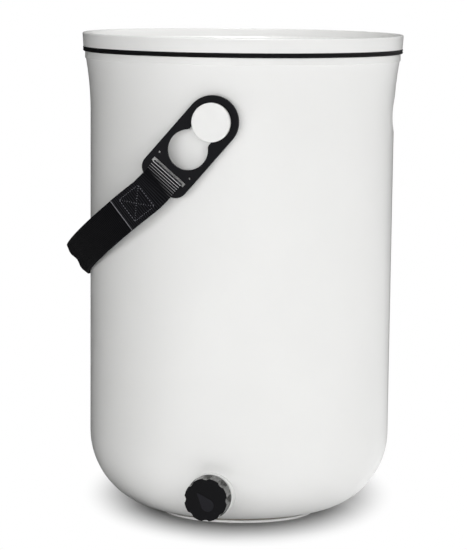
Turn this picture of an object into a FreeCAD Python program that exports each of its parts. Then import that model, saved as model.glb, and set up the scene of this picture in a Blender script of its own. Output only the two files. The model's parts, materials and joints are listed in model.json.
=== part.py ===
import FreeCAD, Part
import math
import os

V = FreeCAD.Vector
UP = V(0, 0, 1)

# How far a cut runs past the face that it starts from, and how close an edge lies to be picked
overcut = 1.0
pick_distance = 0.02

# Bucket: a tall drum with a big bottom radius, a flared neck, a rim band and a grooved foot ring
rim_top = 390.2
rim_height = 6.1
rim_step = 0.7
rim_fillet = 0.5
flare_height = 43.6
flare_radius = 245.0
wall_middle_radius = 126.8
wall_middle_height = 152.5
wall_draft = 0.3
wall_thickness = 2.6
floor_thickness = 2.8
floor_underside = 3.9
bottom_radius = 66.0
foot_overhang = 3.2
foot_width = 6.0
foot_lip_height = 1.9
foot_groove_depth = 2.5
foot_sink = 0.5
foot_fillet = 0.6

# Lid: a dished plate with a raised rim, a plug skirt and a rubber seal under its flange
seal_height = 3.9
seal_bead = 0.6
seal_gap = 0.05
seal_skirt_clearance = 0.3
lid_overhang = 2.34
lid_rim_height = 11.5
lid_taper = 0.8
lid_rim_thickness = 2.6
lid_dish_depth = 8.0
lid_dish_slope = 2.0
lid_plate_thickness = 2.8
lid_skirt_clearance = 0.97
lid_skirt_thickness = 2.2
lid_skirt_depth = 19.0
lid_edge_fillet = 0.9
lid_dish_fillet = 2.5
lid_skirt_fillet = 0.7

# Strainer: a perforated false floor on posts, above the tap
strainer_wall_clearance = 2.4
strainer_tap_clearance = 8.4
strainer_thickness = 3.0
strainer_lip_width = 2.4
strainer_lip_height = 6.0
strainer_hole_radius = 2.6
strainer_hole_rings = 6
strainer_holes_per_ring = 6
strainer_edge_band = 12.9
strainer_posts = 6
strainer_post_radius = 4.5
strainer_post_inset = 5.85
strainer_foot_gap = 0.1
strainer_grip_radius = 6.0
strainer_grip_height = 16.0
strainer_grip_head_radius = 11.0
strainer_grip_head = 4.0
strainer_grip_fillet = 1.3

# Handle buttons: a neck and flange screwed to a pad on the wall, with a snap-on cap
button_below_flare = 2.0
button_neck_radius = 9.8
button_pad_margin = 3.2
button_flange_margin = 5.0
button_flange_thickness = 2.0
button_cap_clearance = 0.3
button_cap_wall = 0.75
button_cap_thickness = 2.2
button_cap_fillet = 1.0
post_front_wall = 1.85
screw_radius = 2.3
screw_hole_clearance = 0.3
screw_head_margin = 2.3
screw_head_height = 2.0
screw_socket_radius = 1.5
screw_socket_depth = 1.2
washer_margin = 2.4
washer_thickness = 1.2
inner_pad_margin = 2.0
inner_pad_height = 1.0
blank_seat_half_height = 15.5
blank_seat_depth = 2.2
blank_seat_turn = 10.3

# Strap plates: keyhole plates that swing on the button necks and clear the lid's edge
plate_rim_clearance = 2.08
plate_thickness = 3.0
plate_side_web = 5.3
plate_slot_web = 5.6
plate_bar_width = 12.8
plate_corner_radius = 10.0
plate_edge_fillet = 0.9
plate_tilt = 3.6
plate_lean = 49.5
plate_face_clearance = 0.4
keyhole_head_clearance = 0.55
keyhole_neck_clearance = 0.5
keyhole_waist = 2.9
keyhole_blend_radius = 4.0
slot_width = 3.6
slot_side_clearance = 1.8
slot_bar_fillet = 1.4
pin_hole_radius = 0.9
pin_hole_inset = 5.4
pin_hole_side_inset = 0.6

# Strap: one length of webbing, folded round both plate bars and sewn to itself
strap_width = 30.0
strap_thickness = 2.0
strap_bar_gap = 0.2
strap_layer_gap = 0.1
strap_edge_clearance = 0.6
strap_lean = 38.0
strap_swing_length = 12.0
strap_lift_length = 1.0
strap_leg_length = 14.0
strap_tail_length = 40.0
strap_bend_share = 0.42
strap_steps = 22
strap_turn_steps = 8

# Tap: a quarter-turn plug in a housing clamped through a boss low on the front
tap_height = 33.5
tap_plug_bore_radius = 7.0
tap_plug_floor = 0.9
tap_barrel_wall = 4.5
tap_barrel_length = 12.5
tap_flange_width = 4.1
tap_flange_thickness = 2.0
tap_gasket_inset = 0.6
tap_gasket_thickness = 1.5
tap_boss_margin = 3.0
tap_boss_stand_out = 12.58
tap_boss_grip = 20.0
tap_boss_fillet = 0.8
tap_tail_radius = 7.4
tap_tail_wall = 2.9
tap_tail_reach = 3.4
tap_bore_clearance = 0.4
tap_nut_width = 5.2
tap_nut_thickness = 6.6
tap_nut_clearance = 0.3
tap_seat_clearance = 1.2
tap_port_radius = 2.8
clip_thickness = 1.2
clip_groove_depth = 0.8
clip_stand_out = 1.3
clip_clearance = 0.15
clip_gap_half = 4.0
plug_clearance = 0.3
plug_wall = 2.5
plug_square_half = 2.5
plug_square_length = 1.6
plug_square_clearance = 0.1
o_ring_section = 0.6
o_ring_clearance = 0.25
o_ring_start_distance = 1.5
o_ring_end_distance = 2.6
o_ring_groove_clearance = 0.05
knob_back_clearance = 0.5
knob_lip_clearance = 0.4
knob_lip_width = 2.0
knob_clip_clearance = 0.4
knob_wall = 4.4
knob_flare = 0.7
knob_rim_width = 2.2
knob_barrel_gap = 0.6
knob_face_thickness = 3.4
knob_flutes = 8
knob_flute_radius = 4.6
knob_flute_depth = 1.9
knob_edge_fillet = 0.7
drop_tip = (-7.3, 6.1)
drop_centre = (1.7, -4.1)
drop_radius = 5.2
drop_height = 0.6

# Bucket heights and radii that follow from the sizes above
flare_end = rim_top - rim_height
flare_start = flare_end - flare_height
arc_height = floor_underside + bottom_radius
floor_top = floor_underside + floor_thickness
draft_slope = math.tan(math.radians(wall_draft))


def wall_radius(height):
    return wall_middle_radius + (height - wall_middle_height) * draft_slope


def flare_outer(height):
    rise = height - flare_start
    return wall_radius(height) + rise * rise / (2 * flare_radius)


arc_axis_radius = wall_radius(arc_height) - bottom_radius


# Radius of the drum's bottom curve, drawn with the given radius about the outside's centre
def bowl_radius(height, curve_radius):
    drop = max(0.0, arc_height - height)
    return arc_axis_radius + math.sqrt(curve_radius ** 2 - drop ** 2)


neck_radius = flare_outer(flare_end)
rim_radius = neck_radius + rim_step
mouth_radius = neck_radius - wall_thickness
foot_outer_radius = arc_axis_radius + foot_overhang
foot_root = arc_height - math.sqrt(bottom_radius ** 2 - foot_overhang ** 2) + foot_sink

# Lid
lid_flange = rim_top + seal_height
lid_top = lid_flange + lid_rim_height
lid_radius = rim_radius + lid_overhang
lid_skirt_bottom = lid_flange - lid_skirt_depth
lid_skirt_radius = flare_outer(lid_skirt_bottom) - wall_thickness - lid_skirt_clearance

# Buttons and strap plates
button_height = flare_start - button_below_flare
wall_at_button = wall_radius(button_height)
button_pad_radius = button_neck_radius + button_pad_margin
button_flange_radius = button_neck_radius + button_flange_margin
button_cap_radius = button_flange_radius + button_cap_clearance + button_cap_wall
tilt = math.radians(plate_tilt)
plate_inner = lid_radius + plate_rim_clearance - (lid_flange - button_height) * math.tan(tilt)
pad_face = plate_inner - button_pad_radius * math.sin(tilt) - plate_face_clearance
head_underside = (plate_inner + button_cap_radius * math.sin(tilt)
                  + plate_thickness / math.cos(tilt) + plate_face_clearance)
flange_front = head_underside + button_flange_thickness
screw_hole_radius = screw_radius + screw_hole_clearance
screw_hole_end = flange_front - post_front_wall
screw_head_radius = screw_radius + screw_head_margin
washer_radius = screw_head_radius + washer_margin
inner_pad_radius = washer_radius + inner_pad_margin
inner_pad_face = wall_at_button - wall_thickness - inner_pad_height
screw_head_face = inner_pad_face - washer_thickness
keyhole_radius = button_cap_radius + keyhole_head_clearance
neck_slot_radius = button_neck_radius + keyhole_neck_clearance
keyhole_distance = keyhole_radius + neck_slot_radius + keyhole_waist
plate_half_width = keyhole_radius + plate_side_web
slot_start = keyhole_distance + keyhole_radius + plate_slot_web
slot_end = slot_start + slot_width
slot_half_length = strap_width / 2 + slot_side_clearance
plate_end = slot_end + plate_bar_width

# Strap
strap_lift_start = plate_end + strap_lift_length
strap_leg_end = plate_end + strap_leg_length
strap_tail_end = plate_end + strap_tail_length
strap_swing_end = strap_lift_start + strap_swing_length
strap_cos, strap_sin = math.cos(math.radians(strap_lean)), math.sin(math.radians(strap_lean))


# Side view of the webbing at a distance from the buttons' axis: how far it has gone sideways and
# down, and its angle. Past the plate it swings in its own plane from the plate's lean to its own.
def strap_side(reach):
    first, last = math.radians(plate_lean), math.radians(strap_lean)
    straight = min(reach, strap_lift_start)
    swung = min(max(0, reach - strap_lift_start), strap_swing_length)
    beyond = max(0, reach - strap_swing_end)
    angle = first + (last - first) * swung / strap_swing_length
    radius = strap_swing_length / (last - first)
    sideways = straight * math.cos(first) + radius * (math.sin(angle) - math.sin(first))
    down = straight * math.sin(first) - radius * (math.cos(angle) - math.cos(first))
    return sideways + beyond * math.cos(last), down + beyond * math.sin(last), angle


# At the far bend the webbing's lower edge leans in towards the wall
strap_far_distance = (wall_at_button + strap_edge_clearance
                      + (strap_width * strap_sin + strap_thickness * strap_cos) / 2)
strap_reach = strap_swing_end + (strap_far_distance - strap_side(strap_swing_end)[0]) / strap_cos

# Tap: distances out from the bucket's axis, and radii about the tap's own axis
tap_boss_face = bowl_radius(tap_height, bottom_radius) + tap_boss_stand_out
tap_seat_face = tap_boss_face - tap_boss_grip
tap_nut_start = tap_seat_face - tap_nut_thickness
tap_tail_end = tap_nut_start - tap_tail_reach
tap_flange_start = tap_boss_face + tap_gasket_thickness
tap_flange_end = tap_flange_start + tap_flange_thickness
tap_barrel_end = tap_flange_end + tap_barrel_length
tap_plug_bore_start = tap_flange_start + tap_plug_floor
plug_start = tap_plug_bore_start + plug_clearance
o_ring_places = (plug_start + o_ring_start_distance, tap_barrel_end - o_ring_end_distance)
tap_port_place = sum(o_ring_places) / 2
knob_back = tap_flange_end + knob_back_clearance
plug_end = tap_barrel_end + knob_barrel_gap
knob_front = plug_end + knob_face_thickness
clip_start = knob_back + knob_lip_width + clip_clearance
clip_end = clip_start + clip_thickness
plug_radius = tap_plug_bore_radius - plug_clearance
tap_barrel_radius = tap_plug_bore_radius + tap_barrel_wall
tap_flange_radius = tap_barrel_radius + tap_flange_width
tap_gasket_radius = tap_flange_radius - tap_gasket_inset
tap_boss_radius = tap_flange_radius + tap_boss_margin
tap_boss_root = bowl_radius(tap_height - tap_boss_radius, bottom_radius) - wall_thickness
tap_bore_radius = tap_tail_radius + tap_bore_clearance
tap_nut_radius = tap_tail_radius + tap_nut_width
tap_seat_radius = tap_nut_radius + tap_seat_clearance
clip_groove_radius = tap_barrel_radius - clip_groove_depth
clip_radius = tap_barrel_radius + clip_stand_out
knob_lip_radius = tap_barrel_radius + knob_lip_clearance
knob_bore_radius = clip_radius + knob_clip_clearance
knob_front_radius = knob_bore_radius + knob_wall
knob_back_radius = knob_front_radius + knob_flare

# Strainer
strainer_height = tap_height + tap_nut_radius + strainer_tap_clearance
strainer_top = strainer_height + strainer_thickness
strainer_radius = bowl_radius(strainer_height, bottom_radius - floor_thickness) - strainer_wall_clearance
strainer_ring_pitch = (strainer_radius - strainer_lip_width - strainer_edge_band) / strainer_hole_rings
strainer_post_circle = arc_axis_radius - strainer_post_radius - strainer_post_inset


def line(a, b):
    return Part.makeLine(V(a[0], 0, a[1]), V(b[0], 0, b[1]))


def arc(a, middle, b):
    return Part.Arc(V(a[0], 0, a[1]), V(middle[0], 0, middle[1]), V(b[0], 0, b[1])).toShape()


def revolved(edges):
    face = Part.Face(Part.Wire(edges))
    return face.revolve(V(0, 0, 0), UP, 360)


def revolved_polygon(points):
    closed = points + points[:1]
    return revolved([line(a, b) for a, b in zip(closed, closed[1:])])


def ring_edges(shape, radius, height):
    found = []
    for edge in shape.Edges:
        curve = edge.Curve
        if not isinstance(curve, Part.Circle):
            continue
        if abs(curve.Radius - radius) < pick_distance and abs(curve.Center.z - height) < pick_distance:
            found.append(edge)
    return found


def front_cylinder(radius, start, end, height, side=-1, across=0.0):
    base = V(across, side * start, height)
    return Part.makeCylinder(radius, end - start, base, V(0, side, 0))


# The drum's profile, drawn once for the outside and once for the inside of the wall
def drum_solid(inset, floor_height, top):
    bottom_r = bottom_radius - (floor_height - floor_underside)
    low = (arc_axis_radius, floor_height)
    corner = bottom_r * math.sqrt(0.5)
    half = (arc_axis_radius + corner, arc_height - corner)
    wall_low = (wall_radius(arc_height) - (bottom_radius - bottom_r), arc_height)
    wall_high = (wall_radius(flare_start) - inset, flare_start)
    flare_half = (flare_start + flare_end) / 2
    flare_mid = (flare_outer(flare_half) - inset, flare_half)
    flare_high = (neck_radius - inset, flare_end)
    mouth = (neck_radius - inset, top)
    edges = [line((0, floor_height), low), arc(low, half, wall_low), line(wall_low, wall_high),
             arc(wall_high, flare_mid, flare_high), line(flare_high, mouth),
             line(mouth, (0, top)), line((0, top), (0, floor_height))]
    return revolved(edges)


# Shallow scoop, a little behind each side at the buttons' height, with its wall kept full
def blank_seat(side):
    scoop_radius = (blank_seat_half_height ** 2 + blank_seat_depth ** 2) / (2 * blank_seat_depth)
    turn = math.radians(blank_seat_turn)
    away = wall_at_button - blank_seat_depth + scoop_radius
    half_length = math.sqrt(2 * wall_at_button * (blank_seat_depth + wall_thickness)) + wall_thickness
    along = V(-side * math.sin(turn), math.cos(turn), 0)
    start = V(side * away * math.cos(turn), away * math.sin(turn), button_height) - along * half_length
    return [Part.makeCylinder(radius, 2 * half_length, start, along)
            for radius in (scoop_radius, scoop_radius + wall_thickness)]


def make_bucket():
    outer = drum_solid(0, floor_underside, rim_top)
    cavity = drum_solid(wall_thickness, floor_top, rim_top + rim_height)
    band = Part.makeCylinder(rim_radius, rim_height, V(0, 0, flare_end))
    foot = Part.makeCylinder(foot_outer_radius, foot_lip_height)
    foot = foot.makeFillet(foot_fillet, ring_edges(foot, foot_outer_radius, 0))
    foot = foot.fuse(Part.makeCylinder(foot_outer_radius - foot_groove_depth, foot_root))
    foot = foot.cut(Part.makeCylinder(foot_outer_radius - foot_width, foot_root))
    boss = front_cylinder(tap_boss_radius, tap_boss_root, tap_boss_face, tap_height)
    boss = boss.makeFillet(tap_boss_fillet, [e for e in boss.Edges
                                             if abs(e.CenterOfMass.y + tap_boss_face) < pick_distance])
    shell = outer.fuse([band, foot, boss]).cut(cavity)
    inner_pads = []
    for side in (-1, 1):
        pad = front_cylinder(button_pad_radius, wall_at_button - wall_thickness / 2, pad_face,
                             button_height, side)
        shell = shell.fuse(pad.cut(cavity))
        inner = front_cylinder(inner_pad_radius, inner_pad_face, wall_at_button, button_height, side)
        inner_pads.append(inner.common(outer))
        dish, dish_back = blank_seat(side)
        inner_pads.append(dish_back.common(outer))
    shell = shell.fuse(inner_pads)
    for side in (-1, 1):
        dish, dish_back = blank_seat(side)
        hole = front_cylinder(screw_hole_radius, inner_pad_face - overcut, pad_face + overcut,
                              button_height, side)
        shell = shell.cut([dish, hole])
    seat = front_cylinder(tap_seat_radius, tap_boss_root - overcut, tap_seat_face, tap_height)
    bore = front_cylinder(tap_bore_radius, tap_seat_face - overcut, tap_boss_face + overcut, tap_height)
    shell = shell.cut([seat, bore]).removeSplitter()
    rims = ring_edges(shell, rim_radius, rim_top) + ring_edges(shell, mouth_radius, rim_top)
    rims += ring_edges(shell, rim_radius, flare_end)
    return shell.makeFillet(rim_fillet, rims)


def make_lid():
    dish_top = lid_top - lid_dish_depth
    plate_bottom = dish_top - lid_plate_thickness
    skirt_inner = lid_skirt_radius - lid_skirt_thickness
    rim_inner = lid_radius - lid_rim_thickness
    dish_radius = rim_inner - lid_dish_slope
    lid = revolved_polygon([(0, plate_bottom), (skirt_inner, plate_bottom), (skirt_inner, lid_skirt_bottom),
                            (lid_skirt_radius, lid_skirt_bottom), (lid_skirt_radius, lid_flange),
                            (lid_radius - lid_taper, lid_flange), (lid_radius, lid_top),
                            (rim_inner, lid_top), (dish_radius, dish_top), (0, dish_top)])
    lid = lid.makeFillet(lid_edge_fillet, ring_edges(lid, lid_radius, lid_top)
                         + ring_edges(lid, rim_inner, lid_top))
    lid = lid.makeFillet(lid_dish_fillet, ring_edges(lid, dish_radius, dish_top))
    return lid.makeFillet(lid_skirt_fillet, ring_edges(lid, lid_skirt_radius, lid_skirt_bottom)
                          + ring_edges(lid, skirt_inner, lid_skirt_bottom))


# The rubber ring shows two round beads between the lid and the rim
def make_lid_seal():
    inner = lid_skirt_radius + seal_skirt_clearance
    low = rim_top + seal_gap
    middle = (low + lid_flange) / 2
    edge = lid_radius - lid_taper - seal_bead / 2
    return revolved([line((inner, low), (edge, low)),
                     arc((edge, low), (edge + seal_bead, (low + middle) / 2), (edge, middle)),
                     arc((edge, middle), (edge + seal_bead, (middle + lid_flange) / 2), (edge, lid_flange)),
                     line((edge, lid_flange), (inner, lid_flange)),
                     line((inner, lid_flange), (inner, low))])


def make_strainer():
    plate = Part.makeCylinder(strainer_radius, strainer_thickness + strainer_lip_height,
                              V(0, 0, strainer_height))
    plate = plate.cut(Part.makeCylinder(strainer_radius - strainer_lip_width, strainer_lip_height,
                                        V(0, 0, strainer_top)))
    holes = []
    for ring in range(1, strainer_hole_rings + 1):
        count = strainer_holes_per_ring * ring
        for number in range(count):
            angle = 2 * math.pi * (number + 0.5 * (ring % 2)) / count
            spot = V(math.cos(angle), math.sin(angle), 0) * (ring * strainer_ring_pitch)
            holes.append(Part.makeCylinder(strainer_hole_radius, strainer_thickness,
                                           spot + V(0, 0, strainer_height)))
    plate = plate.cut(Part.makeCompound(holes))
    posts = []
    foot = floor_top + strainer_foot_gap
    for number in range(strainer_posts):
        angle = 2 * math.pi * number / strainer_posts
        spot = V(math.cos(angle), math.sin(angle), 0) * strainer_post_circle
        posts.append(Part.makeCylinder(strainer_post_radius, strainer_height - foot, spot + V(0, 0, foot)))
    grip = Part.makeCylinder(strainer_grip_radius, strainer_grip_height, V(0, 0, strainer_top))
    head = Part.makeCylinder(strainer_grip_head_radius, strainer_grip_head,
                             V(0, 0, strainer_top + strainer_grip_height))
    head = head.makeFillet(strainer_grip_fillet, [e for e in head.Edges if isinstance(e.Curve, Part.Circle)])
    return plate.fuse(posts + [grip, head]).removeSplitter()


def make_button_post(side):
    neck = front_cylinder(button_neck_radius, pad_face, head_underside, button_height, side)
    flange = front_cylinder(button_flange_radius, head_underside, flange_front, button_height, side)
    hole = front_cylinder(screw_hole_radius, pad_face - overcut, screw_hole_end, button_height, side)
    return neck.fuse(flange).cut(hole).removeSplitter()


def make_button_cap(side):
    front = flange_front + button_cap_thickness
    cap = front_cylinder(button_cap_radius, head_underside, front, button_height, side)
    cap = cap.makeFillet(button_cap_fillet, [e for e in cap.Edges
                                             if abs(abs(e.CenterOfMass.y) - front) < pick_distance])
    return cap.cut(front_cylinder(button_flange_radius + button_cap_clearance, head_underside,
                                  flange_front, button_height, side))


def make_button_screws():
    screws = []
    for side in (-1, 1):
        shank = front_cylinder(screw_radius, screw_head_face, screw_hole_end - screw_hole_clearance,
                               button_height, side)
        start = screw_head_face - screw_head_height
        head = front_cylinder(screw_head_radius, start, screw_head_face, button_height, side)
        socket = front_cylinder(screw_socket_radius, start, start + screw_socket_depth, button_height, side)
        screws.append(shank.fuse(head).cut(socket).removeSplitter())
    return Part.makeCompound(screws)


def make_button_washers():
    washers = []
    for side in (-1, 1):
        disc = front_cylinder(washer_radius, screw_head_face, inner_pad_face, button_height, side)
        hole = front_cylinder(screw_hole_radius, screw_head_face, inner_pad_face, button_height, side)
        washers.append(disc.cut(hole))
    return Part.makeCompound(washers)


# Turns a shape drawn flat (x along the plate, z away from the bucket) onto its button
def on_button(shape, side):
    lean = math.radians(plate_lean)
    along = V(-math.cos(lean), 0, -math.sin(lean))
    outward = V(0, side, 0)
    x = along * math.cos(tilt) + outward * math.sin(tilt)
    z = outward * math.cos(tilt) - along * math.sin(tilt)
    y = z.cross(x)
    origin = V(0, side * plate_inner, button_height)
    matrix = FreeCAD.Matrix(x.x, y.x, z.x, origin.x, x.y, y.y, z.y, origin.y, x.z, y.z, z.z, origin.z,
                            0, 0, 0, 1)
    placed = shape.copy()
    placed.Placement = FreeCAD.Placement(matrix)
    return placed


def make_strap_plate(side):
    body = Part.makeBox(plate_end, 2 * plate_half_width, plate_thickness, V(0, -plate_half_width, 0))
    corners = [e for e in body.Edges if abs(e.CenterOfMass.x - plate_end) < pick_distance
               and abs(abs(e.CenterOfMass.y) - plate_half_width) < pick_distance]
    body = body.makeFillet(plate_corner_radius, corners)
    body = body.fuse(Part.makeCylinder(plate_half_width, plate_thickness)).removeSplitter()
    body = body.makeFillet(plate_edge_fillet, [e for e in body.Edges
                                               if abs(e.CenterOfMass.z - plate_thickness) < pick_distance])
    keyhole = Part.makeCylinder(keyhole_radius, plate_thickness, V(keyhole_distance, 0, 0))
    keyhole = keyhole.fuse(Part.makeCylinder(neck_slot_radius, plate_thickness))
    keyhole = keyhole.fuse(Part.makeBox(keyhole_distance, 2 * neck_slot_radius, plate_thickness,
                                        V(0, -neck_slot_radius, 0))).removeSplitter()
    waist = keyhole_distance - math.sqrt(keyhole_radius ** 2 - neck_slot_radius ** 2)
    keyhole = keyhole.makeFillet(keyhole_blend_radius, [
        e for e in keyhole.Edges if abs(e.CenterOfMass.x - waist) < pick_distance
        and abs(abs(e.CenterOfMass.y) - neck_slot_radius) < pick_distance
        and abs(e.CenterOfMass.z - plate_thickness / 2) < pick_distance])
    slot = Part.makeBox(slot_width, 2 * slot_half_length, plate_thickness,
                        V(slot_start, -slot_half_length, 0))
    body = body.cut([keyhole, slot])
    body = body.makeFillet(slot_bar_fillet, [e for e in body.Edges
                                             if abs(e.CenterOfMass.x - slot_end) < pick_distance
                                             and abs(e.CenterOfMass.y) < pick_distance])
    for side_of_slot in (-1, 1):
        spot = V(slot_start - pin_hole_inset, side_of_slot * (slot_half_length - pin_hole_side_inset), 0)
        body = body.cut(Part.makeCylinder(pin_hole_radius, plate_thickness, spot))
    return on_button(body, side)


# The webbing's middle line: outward distance and reach from the buttons' axis
def strap_line():
    def from_plate(along, off):
        return (plate_inner + along * math.sin(tilt) + off * math.cos(tilt),
                along * math.cos(tilt) - off * math.sin(tilt))

    inside = -(strap_bar_gap + strap_thickness / 2)
    outside = plate_thickness - inside
    start = from_plate(strap_leg_end, inside)
    pull = strap_bend_share * (strap_reach - strap_leg_end)
    leg_pull = (start[0] + pull * math.sin(tilt), start[1] + pull * math.cos(tilt))
    far = [start, leg_pull, (strap_bend_share * plate_inner, strap_reach), (0, strap_reach)]

    def leg(part):
        weights = ((1 - part) ** 3, 3 * part * (1 - part) ** 2, 3 * part ** 2 * (1 - part), part ** 3)
        return tuple(sum(w * p[k] for w, p in zip(weights, far)) for k in (0, 1))

    main = [leg(n / strap_steps) for n in range(strap_steps + 1)]
    step = strap_thickness + strap_layer_gap
    tail = []
    for a, b, c in zip(main, main[1:], main[2:]):
        run = math.hypot(c[0] - a[0], c[1] - a[1])
        if b[1] < strap_tail_end * math.cos(tilt):
            tail.append((b[0] + step * (c[1] - a[1]) / run, b[1] - step * (c[0] - a[0]) / run))
    tail.reverse()
    lift = []
    for n in range(strap_turn_steps + 1):
        part = n / strap_turn_steps
        ease = part * part * (3 - 2 * part)
        lift.append(from_plate(strap_leg_end - part * (strap_leg_end - strap_lift_start),
                               inside + step + ease * (outside - inside - step)))
    turn = []
    middle = plate_thickness / 2
    bar = slot_end + middle
    for n in range(strap_turn_steps + 1):
        angle = math.pi * (0.5 + n / strap_turn_steps)
        reach = outside - middle
        turn.append(from_plate(bar + reach * math.cos(angle), middle + reach * math.sin(angle)))
    return tail + lift + turn + main


def make_strap():
    half = strap_line()
    path = [(-out, reach) for out, reach in half] + [(out, reach) for out, reach in half[-2::-1]]
    points = []
    angles = []
    for out, reach in path:
        sideways, down, angle = strap_side(reach)
        points.append(V(-sideways, out, button_height - down))
        angles.append(angle)
    sections = []
    for n, point in enumerate(points):
        ahead = points[min(n + 1, len(points) - 1)] - points[max(n - 1, 0)]
        ahead.normalize()
        across = V(-math.sin(angles[n]), 0, math.cos(angles[n]))
        across = across - ahead * across.dot(ahead)
        across.normalize()
        thick = ahead.cross(across) * (strap_thickness / 2)
        across = across * (strap_width / 2)
        corners = [point + across + thick, point + across - thick,
                   point - across - thick, point - across + thick]
        sections.append(Part.makePolygon(corners + corners[:1]))
    return Part.makeLoft(sections, True, True)


def make_tap_gasket():
    disc = front_cylinder(tap_gasket_radius, tap_boss_face, tap_flange_start, tap_height)
    return disc.cut(front_cylinder(tap_bore_radius, tap_boss_face, tap_flange_start, tap_height))


def make_tap_housing():
    flange = front_cylinder(tap_flange_radius, tap_flange_start, tap_flange_end, tap_height)
    barrel = front_cylinder(tap_barrel_radius, tap_flange_start, tap_barrel_end, tap_height)
    tail = front_cylinder(tap_tail_radius, tap_tail_end, tap_flange_start, tap_height)
    body = flange.fuse([barrel, tail]).removeSplitter()
    passage = front_cylinder(tap_tail_radius - tap_tail_wall, tap_tail_end, tap_barrel_end, tap_height)
    plug_bore = front_cylinder(tap_plug_bore_radius, tap_plug_bore_start, tap_barrel_end, tap_height)
    port = Part.makeCylinder(tap_port_radius, 2 * tap_barrel_radius, V(0, -tap_port_place, tap_height),
                             V(0, 0, -1))
    groove_start = clip_start - clip_clearance
    groove_end = clip_end + clip_clearance
    groove = front_cylinder(clip_radius, groove_start, groove_end, tap_height)
    groove = groove.cut(front_cylinder(clip_groove_radius, groove_start, groove_end, tap_height))
    return body.cut([passage, plug_bore, port, groove]).removeSplitter()


def make_tap_nut():
    corners = []
    for n in range(7):
        angle = math.radians(60 * n)
        corners.append(V(tap_nut_radius * math.cos(angle), -tap_nut_start,
                         tap_height + tap_nut_radius * math.sin(angle)))
    nut = Part.Face(Part.makePolygon(corners)).extrude(V(0, -tap_nut_thickness, 0))
    hole = front_cylinder(tap_tail_radius + tap_nut_clearance, tap_nut_start, tap_seat_face, tap_height)
    return nut.cut(hole)


# Open spring ring in the housing's groove that keeps the knob from pulling off
def make_tap_clip():
    ring = front_cylinder(clip_radius, clip_start, clip_end, tap_height)
    ring = ring.cut(front_cylinder(clip_groove_radius + clip_clearance, clip_start, clip_end, tap_height))
    gap = Part.makeBox(2 * clip_gap_half, clip_thickness, clip_radius,
                       V(-clip_gap_half, -clip_end, tap_height - clip_radius))
    return ring.cut(gap)


def make_tap_plug():
    plug = front_cylinder(plug_radius, plug_start, plug_end, tap_height)
    square = Part.makeBox(2 * plug_square_half, plug_square_length, 2 * plug_square_half,
                          V(-plug_square_half, -plug_end - plug_square_length, tap_height - plug_square_half))
    passage_end = tap_port_place + tap_port_radius
    passage = front_cylinder(plug_radius - plug_wall, plug_start, passage_end, tap_height)
    port = Part.makeCylinder(tap_port_radius, 2 * plug_radius, V(0, -tap_port_place, tap_height),
                             V(-1, 0, 0))
    plug = plug.fuse(square).removeSplitter().cut([passage, port])
    floor = plug_radius - 2 * o_ring_section
    half = o_ring_section + o_ring_groove_clearance
    for place in o_ring_places:
        groove = front_cylinder(plug_radius + overcut, place - half, place + half, tap_height)
        plug = plug.cut(groove.cut(front_cylinder(floor, place - half, place + half, tap_height)))
    return plug


def make_tap_o_rings():
    rings = []
    for place in o_ring_places:
        middle = tap_plug_bore_radius - o_ring_clearance - o_ring_section
        rings.append(Part.makeTorus(middle, o_ring_section, V(0, -place, tap_height), V(0, -1, 0)))
    return Part.makeCompound(rings)


# Raised plain water drop: a round body drawn out to a point
def drop_solid():
    tip = V(drop_tip[0], -knob_front, tap_height + drop_tip[1])
    centre = V(drop_centre[0], -knob_front, tap_height + drop_centre[1])
    axis = tip - centre
    distance = axis.Length
    axis.normalize()
    side = V(axis.z, 0, -axis.x)
    spread = math.acos(drop_radius / distance)
    left = centre + (axis * math.cos(spread) + side * math.sin(spread)) * drop_radius
    right = centre + (axis * math.cos(spread) - side * math.sin(spread)) * drop_radius
    rounded = Part.Arc(left, centre - axis * drop_radius, right).toShape()
    outline = Part.Wire([Part.makeLine(tip, left), rounded, Part.makeLine(right, tip)])
    return Part.Face(outline).extrude(V(0, -drop_height, 0))


def make_tap_knob():
    body = Part.makeCone(knob_back_radius, knob_front_radius, knob_front - knob_back,
                         V(0, -knob_back, tap_height), V(0, -1, 0))
    flutes = []
    reach = knob_back_radius - knob_flute_depth + knob_flute_radius
    for n in range(knob_flutes):
        angle = 2 * math.pi * n / knob_flutes
        flutes.append(front_cylinder(knob_flute_radius, knob_back + knob_rim_width, knob_front + overcut,
                                     tap_height + reach * math.sin(angle), -1, reach * math.cos(angle)))
    body = body.cut(flutes)
    body = body.makeFillet(knob_edge_fillet, [e for e in body.Edges
                                              if abs(e.CenterOfMass.y + knob_front) < pick_distance])
    room = front_cylinder(knob_bore_radius, knob_back + knob_lip_width, plug_end, tap_height)
    mouth = front_cylinder(knob_lip_radius, knob_back, plug_end, tap_height)
    pocket_half = plug_square_half + plug_square_clearance
    pocket_depth = plug_square_length + plug_square_clearance
    pocket = Part.makeBox(2 * pocket_half, pocket_depth, 2 * pocket_half,
                          V(-pocket_half, -plug_end - pocket_depth, tap_height - pocket_half))
    window = Part.makeCylinder(tap_port_radius, 2 * knob_back_radius, V(0, -tap_port_place, tap_height),
                               V(-1, 0, 0))
    return body.cut([room, mouth, pocket, window]).fuse(drop_solid()).removeSplitter()


nodes = {
    "bucket": make_bucket(),
    "lid": make_lid(),
    "lid_seal": make_lid_seal(),
    "strainer": make_strainer(),
    "front_button_post": make_button_post(-1),
    "rear_button_post": make_button_post(1),
    "front_button_cap": make_button_cap(-1),
    "rear_button_cap": make_button_cap(1),
    "button_screws": make_button_screws(),
    "button_washers": make_button_washers(),
    "front_strap_plate": make_strap_plate(-1),
    "rear_strap_plate": make_strap_plate(1),
    "strap": make_strap(),
    "tap_gasket": make_tap_gasket(),
    "tap_housing": make_tap_housing(),
    "tap_nut": make_tap_nut(),
    "tap_clip": make_tap_clip(),
    "tap_plug": make_tap_plug(),
    "tap_o_rings": make_tap_o_rings(),
    "tap_knob": make_tap_knob(),
}

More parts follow.
